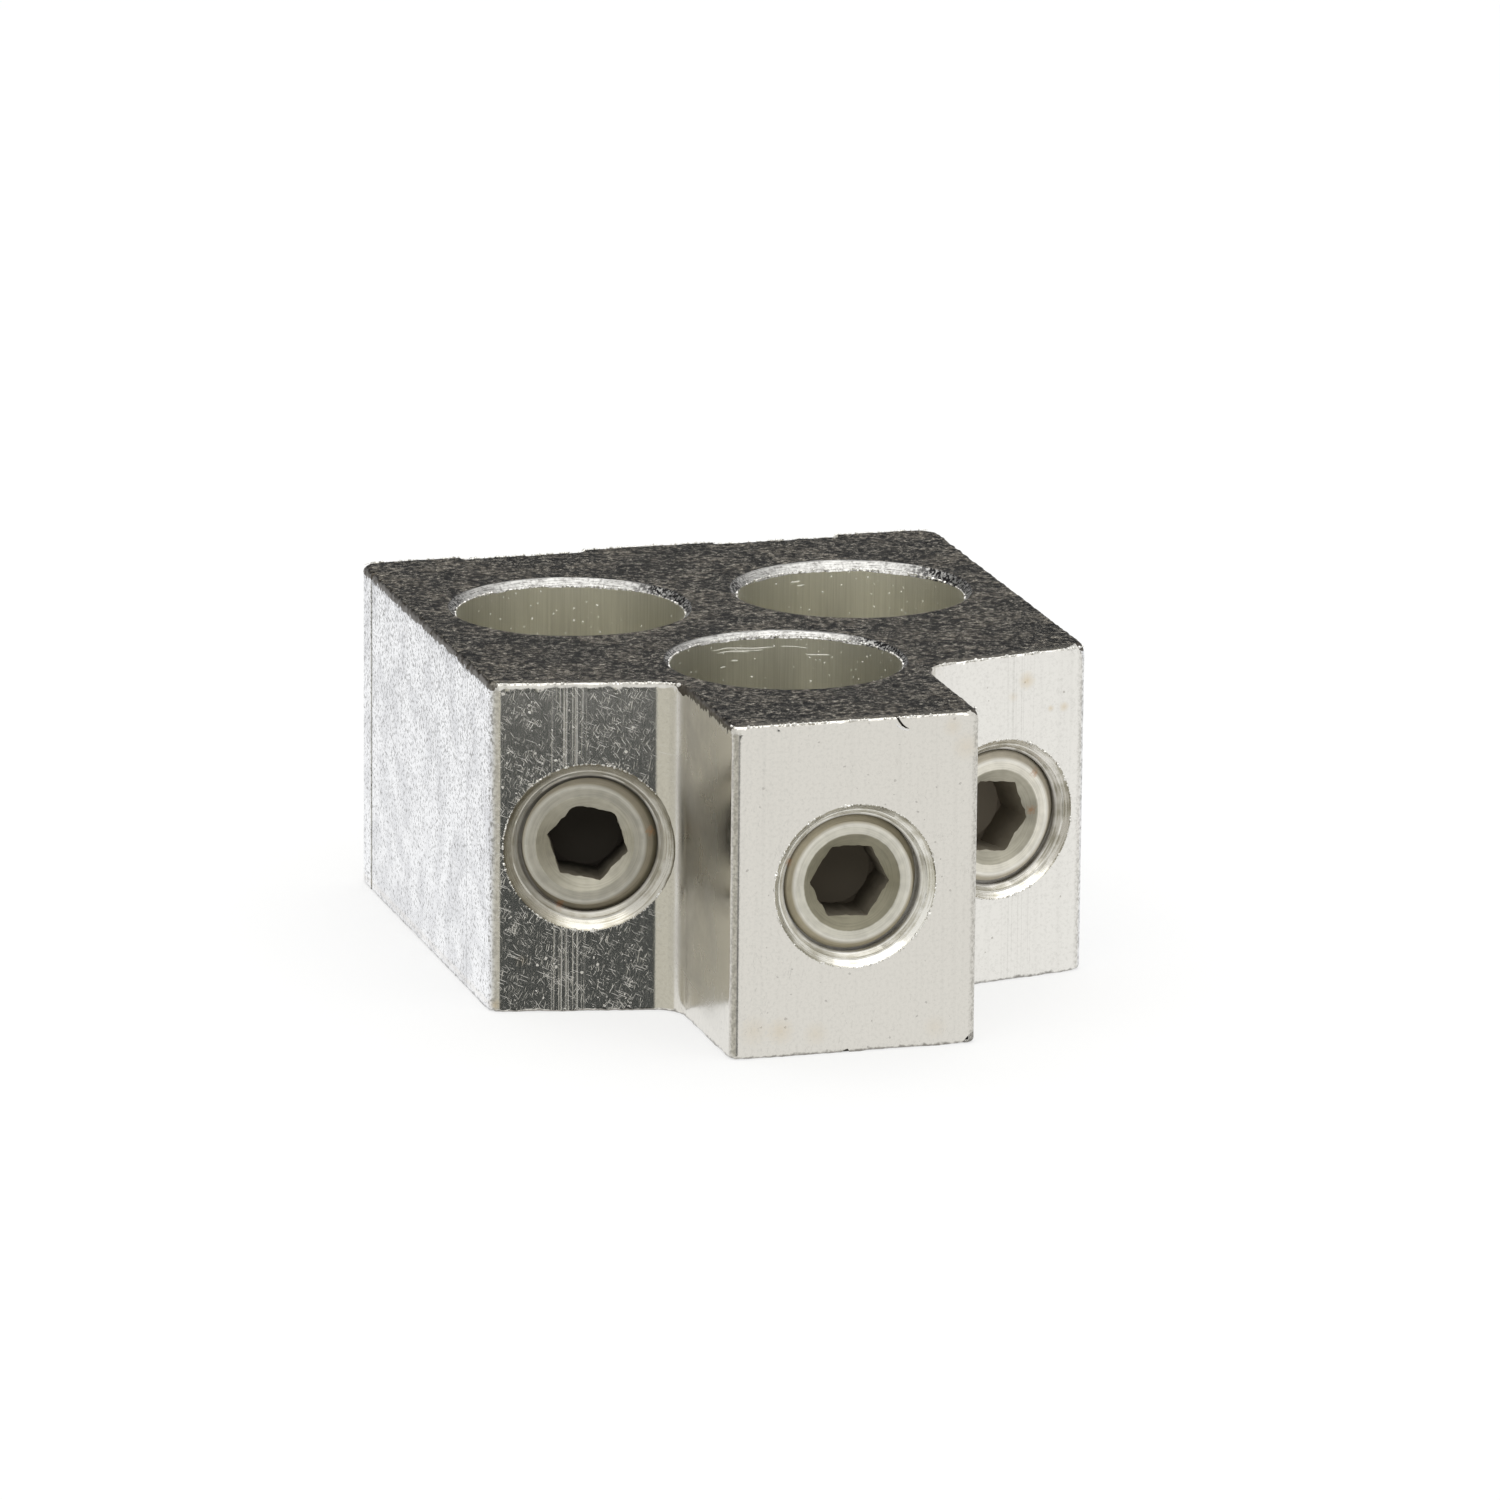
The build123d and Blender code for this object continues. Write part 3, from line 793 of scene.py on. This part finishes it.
block = {
    "channelWidth": 14.8, "channelCentre": 15.4, "channelDepth": 1.0,
    "grooveInset": 5.4, "grooveWidth": 0.7, "backCorner": 2.0, "wingCorner": 1.4, "noseCorner": 0.9,
    "rootFillet": 3.8, "channelEdge": 0.4, "step": 0.3, "bottomRim": 0.4,
    # how far each sawn end is rounded over: always, at the least, by slow chance and by fine chance
    "foot": (0.28, 0.08, 0.14, 0.14), "head": (0.46, 0.06, 0.18, 0.16), "cornerRound": 0.5, "cornerReach": 3.0,
    "lip": 0.16, "straight": (0.6, 0.2),  # rows below the top's rounding
    # chance along the outline, as its size and seed
    "broad": (2.4, 1.3), "fine": (0.55, 7.7), "top": (1.3, 21.9),
    "mouthSteps": ((8.12, 0.1), (8.5, -0.06), (8.66, 0.06)),  # radius, and depth beyond a plain countersink's
    "tapCrest": 7.92, "boltCrest": 3.1, "boltPitch": 1.27, "boltDepth": 11.0, "boltMouth": 3.4,
    # knocked corners: the corner, the way that the knock came and how far along the edge it reaches
    "dents": [((14.2, -42.0, 0), (1, -1, -1), 1.8), ((-34.9, -16.64, 0), (-1, -1, -1), 0.8)],
    "topKnocks": {(-1, 0): 0.9, (1, 0): 1.6, (-1, 1): 0.9, (1, 1): 2.0, (-1, 2): 1.3, (1, 2): 1.8},
    "knockFacets": ((1.0, 1.0), (2.2, 1.25), (0.45, 0.72)),  # steepness, and share of the reach
    # tears in the nose's face as (x, z, width): under the flap at its top edge, and a notch in its foot
    "tears": [[(4.45, 38.6, 0.3), (4.62, 38.0, 0.28), (4.84, 37.6, 0.26), (5.2, 37.12, 0.24), (5.62, 36.8, 0.16),
               (5.95, 36.7, 0.04)], [(-0.9, -0.4, 1.5), (-0.82, 0.2, 0.7), (-0.7, 0.42, 0.1)]],
    "tearForm": ((-1, 0.45), (-1, -0.8), (1, -0.8), (1, 0.45)),
}
outerCorners = [Vector((sign * x, y)) for sign in (-1, 1)
                for x, y in ((noseX, noseY), (halfWidth, wingFaceY(halfWidth)), (halfWidth, backY))]


def blockCorners():
    # corners (x, y, radius) of the extrusion's outline, from the back's middle round to the nose, both halves
    channelIn, channelOut = (block["channelCentre"] + sign * block["channelWidth"] / 2 for sign in (-1, 1))
    channelY = backY - block["channelDepth"]
    groove = block["grooveWidth"] / 2
    grooveY = backY - block["grooveInset"]
    half = [
        *[(x, y, block["channelEdge"]) for x, y in ((channelIn, backY), (channelIn, channelY),
                                                    (channelOut, channelY), (channelOut, backY))],
        (halfWidth, backY, block["backCorner"]),
        (halfWidth, grooveY + groove, 0),
        (halfWidth - groove, grooveY, 0),
        (halfWidth, grooveY - groove, 0),
        (halfWidth, wingFaceY(halfWidth), block["wingCorner"]),
        (noseX, wingFaceY(noseX), block["rootFillet"]),
        (noseX, noseY, block["noseCorner"]),
    ]
    return [(-x, y, r) for x, y, r in half] + half[::-1]


def roundedOutline(corners, step):
    # points along a closed outline whose corners are arcs, about a step apart
    points = []
    for number, (x, y, radius) in enumerate(corners):
        here = Vector((x, y))
        before = (Vector(corners[number - 1][:2]) - here).normalized()
        after = (Vector(corners[(number + 1) % len(corners)][:2]) - here).normalized()
        if radius == 0:
            points.append(here)
            continue
        half = before.angle(after) / 2
        centre = here + (before + after).normalized() * radius / sin(half)
        start, end = (here + way * radius / tan(half) - centre for way in (before, after))
        first = atan2(start.y, start.x)
        turn = (atan2(end.y, end.x) - first + pi) % (2 * pi) - pi
        count = max(3, ceil(abs(turn) * radius / (step / 2)))
        points += [centre + radius * Vector((cos(first + turn * k / count), sin(first + turn * k / count)))
                   for k in range(count + 1)]
    fine = []
    for here, there in zip(points, points[1:] + points[:1]):
        count = max(1, round((there - here).length / step))
        fine += [here.lerp(there, k / count) for k in range(count)]
    return fine


def sliver(shape, line, form):
    # a strip along a line on the nose's face: form gives its outline as share of the width and depth behind
    rows = []
    for k, (x, z, width) in enumerate(line):
        before, after = line[max(0, k - 1)], line[min(len(line) - 1, k + 1)]
        along = Vector((after[0] - before[0], after[1] - before[1])).normalized()
        across = Vector((-along.y, along.x)) * width / 2
        rows.append([shape.verts.new((x + part * across.x, noseY + deep, z + part * across.y))
                     for part, deep in form])
    shape.faces.new(rows[0])
    shape.faces.new(rows[-1][::-1])
    skin(shape, rows)


def blockShell():
    # the length of extrusion with its sawn ends: rows of the outline, rounded over and ragged at both ends
    points = roundedOutline(blockCorners(), block["step"])
    shape = bmesh.new()
    rows = [[] for _ in range(10)]
    for k, point in enumerate(points):
        along = points[(k + 1) % len(points)] - points[k - 1]
        out = Vector((along.y, -along.x)).normalized()
        broad, fine, top = (ragged(point, *block[kind]) for kind in ("broad", "fine", "top"))
        knocked = max(0, 1 - min((point - corner).length for corner in outerCorners) / block["cornerReach"]) ** 2
        foot, head = (max(least, always + slowly * slow + finely * fine + block["cornerRound"] * knocked)
                      for (always, least, slowly, finely), slow in ((block["foot"], broad), (block["head"], top)))
        lip = block["lip"] * max(0, fine)
        levels = [(foot * (1 - sin(radians(turn))), -foot * (1 - cos(radians(turn)))) for turn in (90, 60, 30, 0)]
        levels += [(height - head - below, share * lip) for below, share in zip(block["straight"], (0, 0.5))]
        levels += [(height - head * (1 - sin(radians(turn))), lip - head * (1 - cos(radians(turn))))
                   for turn in (0, 30, 60, 90)]
        for row, (level, offset) in zip(rows, levels):
            place = point + out * offset
            row.append(shape.verts.new((place.x, place.y, level)))
    skin(shape, rows, [0] * 8 + [1])
    for row in (rows[0], rows[-1]):
        shape.faces.new(row).material_index = 1
    return objectFrom(shape, "lug_block", [finishes["tin"], finishes["sawn"]])


def boreCutter(side):
    # drill with a countersink at each end, whose edge wanders as one broken by hand
    bore = bores[side]
    rim, foot = bore["rim"], block["bottomRim"]
    profile = [(0, -1, 0), (boreRadius + foot + 1, -1, 1), (boreRadius + foot, 0, 1), (boreRadius, foot, 0),
               (boreRadius, height / 2, 0), (boreRadius, height - rim, 1), (boreRadius + rim, height, 1),
               (boreRadius + rim + 1, height + 1, 1), (0, height + 1, 0)]

    def wander(row, angle):
        place = (boreRadius * cos(angle), boreRadius * sin(angle))
        broad, fine = ragged(place, 5.0, bore["centre"][0]), ragged(place, 0.5, bore["centre"][1])
        heavy = bore["backHeavy"] * cos(angle - backHeavyWay) * (row > 4)
        if row in (1, 2, 6, 7):
            return 0.09 * broad + 0.03 * fine + heavy, 0
        return 0, (0.09 * broad + 0.07 * fine - heavy if row in (3, 5) else 0)

    return revolved(f"{side}_bore_cutter", profile, [finishes["bored"], finishes[f"{side}Rim"]], 288, wander,
                    Matrix.Translation((*bore["centre"], 0)))


def mouthCutter(side):
    # countersink of a screw's port, in steps where it chattered, and straight above the face to clear the fillet
    mouth = portSizes[side]["mouth"]
    gap = portSizes[side]["recess"] + 0.75  # the thread starts below the screw's rounded end
    steps = [(7.88, gap), (7.88, mouth - 7.9),
             *[(radius, mouth - radius + beyond) for radius, beyond in block["mouthSteps"]],
             (mouth - 0.25, 0.32), (mouth, 0), (mouth, -5)]
    profile = [(0, -gap, 0)] + [(radius, -deep, 0) for radius, deep in steps] + [(0, 5, 0)]

    def wander(row, angle):
        place = (mouth * cos(angle), mouth * sin(angle))
        broad, fine = ragged(place, 4.0, mouth + 3 * row), ragged(place, 0.6, mouth)
        return (0.05 * broad + 0.03 * fine if row in (7, 8) else 0.04 * broad if row in (3, 4, 5, 6) else 0), 0

    return revolved(f"{side}_mouth_cutter", profile, [finishes[f"{side}Mouth"]], 256, wander,
                    portSizes[side]["frame"])


def portFoot(port):
    # where a port's thread starts, on its bore's axis
    return port["frame"] @ Matrix.Translation((0, 0, -port["wall"] - boreRadius))


def boltHole(body, place):
    # a tapped hole in the back, with its mouth opened a little
    depth, mouth = block["boltDepth"], block["boltMouth"]
    tap = threadedRod("bolt_tap", block["boltCrest"], block["boltPitch"], depth + 5, finishes["thread"],
                      place @ Matrix.Translation((0, 0, -depth - 2)))
    carve(tap, revolved("bolt_hole", [(0, -depth, 0), (4, -depth, 0), (4, 3, 0), (0, 3, 0)],
                        [finishes["thread"]], 48, None, place), "INTERSECT")
    carve(body, tap)
    carve(body, revolved("bolt_mouth", [(0, -mouth, 0), (mouth, 0, 0), (mouth + 1, 1, 0), (0, 1, 0)],
                         [finishes["noseMouth"]], 96, None, place))


def knockOff(body, corner, outward, leg, size=8):
    # a corner cut off by a cube whose face looks back along outward
    outward = Vector(outward)
    tool = bmesh.new()
    bmesh.ops.create_cube(tool, size=size)
    tool.transform(Matrix.Translation(Vector(corner) - Vector((outward.x * leg, 0, 0))
                                      + outward.normalized() * (size // 2))
                   @ outward.to_track_quat("Z", "Y").to_matrix().to_4x4())
    carve(body, objectFrom(tool, "dent", [finishes["tin" if corner[2] > 0 else "burr"]]))


def lugBlock():
    body = blockShell()
    for side, port in portSizes.items():
        carve(body, threadedRod(f"{side}_tap", block["tapCrest"], threadForm["pitch"],
                                port["wall"] + boreRadius + 3, finishes["thread"], portFoot(port)))
    for side in bores:
        carve(body, boreCutter(side))
        carve(body, mouthCutter(side))
    print("ports and wire bores cut")
    spacing = mounts["terminal_bolts"]["dims"]["spacing_y_mm"]
    for sign in (-1, 1):
        boltHole(body, localFrame(Vector((0, backY, height / 2 + sign * spacing / 2)), Vector((0, 1, 0))))
    for line in block["tears"]:
        tool = bmesh.new()
        sliver(tool, line, block["tearForm"])
        carve(body, objectFrom(tool, "tear", [finishes["sawn"]]))
    for corner, outward, leg in block["dents"]:
        knockOff(body, corner, outward, leg)
    for (sign, place), leg in block["topKnocks"].items():
        corner = Vector((*outerCorners[place + (3 if sign > 0 else 0)], height))
        for steepness, share in block["knockFacets"]:
            knockOff(body, corner, (sign, 1 if place == 2 else -1, steepness), leg * share)
    return body


def finishPiece(thing, name, body, node=None, angle=30):
    # smooth curves, crisp edges, metres, and its place in the frame
    thing.name = name
    thing.data.name = name
    thing.data.polygons.foreach_set("use_smooth", [True] * len(thing.data.polygons))
    thing.data.set_sharp_from_angle(angle=radians(angle))
    thing.modifiers.new("weigh", "WEIGHTED_NORMAL").keep_sharp = True
    evaluated(thing)
    thing.data.transform(Matrix.Scale(0.001, 4))
    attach(thing, body)
    if node:
        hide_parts(node)
    print(name, len(thing.data.polygons), "faces")


finishPiece(lugBlock(), "lug_block", "lug_body", "lug_body")


# Burrs on the block's edges

burrs = {"grains": {"Spacing": 0.2, "Smallest": 0.06, "Largest": 0.26, "Share": 0.33, "Cluster": 1.8, "Seed": 5},
         "topInset": 0.06, "portInset": 0.03, "circleSteps": 90,
         # the bright tip of the flap torn over the nose's top edge, as (x, z, width)
         "tip": [(4.3, 37.5, 0.04), (4.66, 37.08, 0.2), (5.1, 36.76, 0.24), (5.6, 36.56, 0.18),
                 (6.1, 36.52, 0.04)],
         "tipForm": ((-1, 0.1), (-0.7, -0.08), (0, -0.13), (0.7, -0.08), (1, 0.1))}


def circle(radius, x=0, y=0, level=0):
    angles = (2 * pi * k / burrs["circleSteps"] for k in range(burrs["circleSteps"]))
    return [(x + radius * cos(angle), y + radius * sin(angle), level) for angle in angles]


def edgeBurrs():
    shape = bmesh.new()
    loops = [[(p.x, p.y, height - burrs["topInset"]) for p in roundedOutline(blockCorners(), 1.0)]]
    for side, bore in bores.items():
        port = portSizes[side]
        loops.append(circle(boreRadius, *bore["centre"], height - bore["rim"]))
        loops.append([port["frame"] @ Vector(spot) for spot in circle(port["mouth"], level=-burrs["portInset"])])
    for loop in loops:
        verts = [shape.verts.new(spot) for spot in loop]
        for here, there in zip(verts, verts[1:] + verts[:1]):
            # nothing over the root fillet, where a mouth's circle leaves the face, and little beside the top
            out, back = abs(here.co.x), here.co.y > noseY + 1
            beside = out > halfWidth - 0.5 or (abs(out - noseX) < 0.5 and back)
            if not (beside if here.co.z > height - 1 else out < noseX + 2.2 and back):
                shape.edges.new((here, there))
    grains = objectFrom(shape, "edge_burrs")
    dressWith(grains, burrTree(), Finish=finishes["burr"], **burrs["grains"])
    shape = bmesh.new()
    shape.from_mesh(grains.data)
    sliver(shape, burrs["tip"], burrs["tipForm"])
    storeShape(shape, grains.data)
    return grains


finishPiece(edgeBurrs(), "edge_burrs", "lug_body", angle=50)


# Set screws

screw = {
    "crest": 7.8, "tipGap": 0.7, "flat": 6.65, "endDrop": 0.5, "tipChamfer": 1.3, "socketMouth": 5.5,
    "mouthSlope": 30.0, "socketDepth": 6.5, "flats": 8.0, "drillAngle": 118.0, "spare": 0.4, "tear": 0.13,
    "broachLevels": (-3.4, -2.6, -1.8, -1.0, 1.0), "sideParts": 10, "pulledIn": 0.06,
}


def hexagonCutter(side):
    # broach for the socket: six sides that bow and tear a little at the mouth, and the drill's point below
    port = portSizes[side]
    shape = bmesh.new()
    cornerRadius = screw["flats"] / 2 / cos(radians(30))
    corners = [Vector((cos(a), sin(a))) * cornerRadius
               for a in (radians(port["turn"]) + pi / 3 * k for k in range(6))]
    rings = []
    for level in (-screw["socketDepth"], *screw["broachLevels"]):
        ring = []
        for here, there in zip(corners, corners[1:] + corners[:1]):
            for part in range(screw["sideParts"]):
                spot = here.lerp(there, part / screw["sideParts"])
                tear = screw["tear"] * (ragged(spot, 1.0, port["wall"] + port["turn"] + level)
                                        + 0.5 * ragged(spot, 0.4, port["turn"] + level))
                spot = spot + spot.normalized() * (tear - (0 if part else screw["pulledIn"]))
                ring.append(shape.verts.new((spot.x, spot.y, level)))
        rings.append(ring)
    skin(shape, rings)
    shape.faces.new(rings[0])
    shape.faces.new(rings[-1])
    finish = finishes[f"{side}Socket"]
    cutter = objectFrom(shape, f"{side}_broach", [finish])
    reach, depth = screw["flats"] / 2, screw["socketDepth"]
    point = reach / tan(radians(screw["drillAngle"] / 2))
    profile = [(0, -depth - point, 0), (reach, -depth, 0), (reach, -depth + 0.5, 0), (0, -depth + 0.5, 0)]
    carve(cutter, revolved("drill", profile, [finish], 96), "UNION")
    cutter.data.transform(port["frame"] @ Matrix.Translation((0, 0, -port["recess"])))
    return cutter


def setScrew(side):
    port = portSizes[side]
    finish = finishes[f"{side}Screw"]
    length = port["wall"] - port["recess"] - screw["tipGap"]
    crest, flat, drop, spare = screw["crest"], screw["flat"], screw["endDrop"], screw["spare"]
    chamfer, mouth = screw["tipChamfer"], screw["socketMouth"]
    profile = [(0, -length, 0), (crest - chamfer, -length, 0), (crest + spare, -length + chamfer + spare, 0),
               (crest + spare, -drop - 0.55, 0)]
    for turn in (60, 48, 36, 24, 12):  # rounded edge of the driven end
        profile.append((flat + (crest - flat) * sin(radians(turn)) / sin(radians(60)),
                        -drop * (1 - cos(radians(turn))) * 2, 0))
    profile += [(flat - 0.08, 0, 0), (mouth + 0.1, 0, 0), (mouth - 0.08, -0.09, 0),
                (0, -mouth * tan(radians(screw["mouthSlope"])), 0)]

    def offCentre(row, angle):
        # the end was faced a little off the thread's centre
        radius, level, _ = profile[row]
        share = min(1, max(0, (crest - radius) / (crest - flat))) * (level > -0.5)
        return -port["offCentre"] * share * cos(angle), 0

    blank = revolved("blank", profile, [finish], 256, offCentre,
                     port["frame"] @ Matrix.Translation((0, 0, -port["recess"])))
    rod = threadedRod(f"{side}_thread", crest, threadForm["pitch"], port["wall"] + boreRadius + 3, finish,
                      portFoot(port))
    carve(rod, blank, "INTERSECT")
    carve(rod, hexagonCutter(side))
    finishPiece(rod, f"{side}_screw", f"{side}_set_screw", f"{side}_set_screw")


for side in portSizes:
    setScrew(side)
print("set screws made")


# Floor, studio light and the pale background

studio = {"white": "ffffff", "floor": "f7f7f5", "floorSize": 12, "shadowShare": 0.35, "skyLight": 0.62,
          "softbox": 2.2, "softboxHeight": 1.5, "softboxPower": 20.5}
flags = {
    # dull sheets that only the metal sees: colour, the place that they face, then the way to them from there as
    # azimuth, elevation and distance, and their width and height
    "camera_side": ("494c4c", (-26, -18, 19), -7.4, -18.7, 330, 120, 126),
    "left_side": ("dcdad0", (-26, -18, 19), -54.0, -17.0, 420, 600, 200),
    "back_side": ("3c3c3c", (0, -18, 19), 180.0, 27.0, 1300, 2600, 620),
}


def seenRays(tree):
    # 1 for the camera and for what metal mirrors
    rays = {socket.name: socket for socket in add(tree, "LightPath", out=slice(13))}
    return combined(tree, "MAXIMUM", *[rays[f"Is {kind} Ray"] for kind in ("Camera", "Glossy", "Transmission")])


def paleWorld():
    # white behind the part and in its reflections; plain dimmer light on it
    scene.world = bpy.data.worlds.new("pale_world")
    tree = cleared(scene.world)
    light, shown = (add(tree, "Background", linear(studio["white"]), strength)
                    for strength in (studio["skyLight"], 1.0))
    add(tree, "OutputWorld", add(tree, "MixShader", seenRays(tree), light, shown))


def sheet(name, width, depth, made, place=Matrix()):
    # a flat sheet of the studio, not part of the object
    mesh = bpy.data.meshes.new(name)
    corners = [(x * width / 2, y * depth / 2, 0) for x, y in ((-1, -1), (1, -1), (1, 1), (-1, 1))]
    mesh.from_pydata(corners, [], [(0, 1, 2, 3)])
    mesh.materials.append(made)
    mesh.transform(place)
    thing = placed(name, mesh)
    return thing


def paleFloor():
    made = bpy.data.materials.new("pale_floor")
    tree = cleared(made)
    cloth = add(tree, "BsdfDiffuse", linear(studio["floor"]))
    glow = add(tree, "Emission", linear(studio["white"]), 1.0)
    shown = add(tree, "MixShader", studio["shadowShare"], glow, cloth)
    add(tree, "OutputMaterial", add(tree, "MixShader", seenRays(tree), cloth, shown))
    floor = sheet("floor", studio["floorSize"], studio["floorSize"], made)
    floor.visible_glossy = False  # metal mirrors the pale world and the flags below it instead


def studioFlags():
    for name, (shade, faced, azimuth, elevation, distance, width, tall) in flags.items():
        made = bpy.data.materials.new(name)
        tree = cleared(made)
        add(tree, "OutputMaterial", add(tree, "Emission", linear(shade)))
        turn, lift = radians(azimuth), radians(elevation)
        away = Vector((sin(turn) * cos(lift), -cos(turn) * cos(lift), sin(lift)))
        middle = Vector(faced) + away * distance
        place = Matrix.Translation(middle / 1000) @ away.to_track_quat("Z", "Y").to_matrix().to_4x4()
        flag = sheet(name, width / 1000, tall / 1000, made, place)
        flag.visible_camera = flag.visible_diffuse = flag.visible_shadow = flag.visible_transmission = False


def softbox():
    light = bpy.data.lights.new("softbox", "AREA")
    light.size = studio["softbox"]
    light.energy = studio["softboxPower"]
    placed("softbox", light).location = (0, 0, studio["softboxHeight"])


paleWorld()
paleFloor()
studioFlags()
softbox()
scene.view_settings.view_transform = "Standard"
print("studio made")
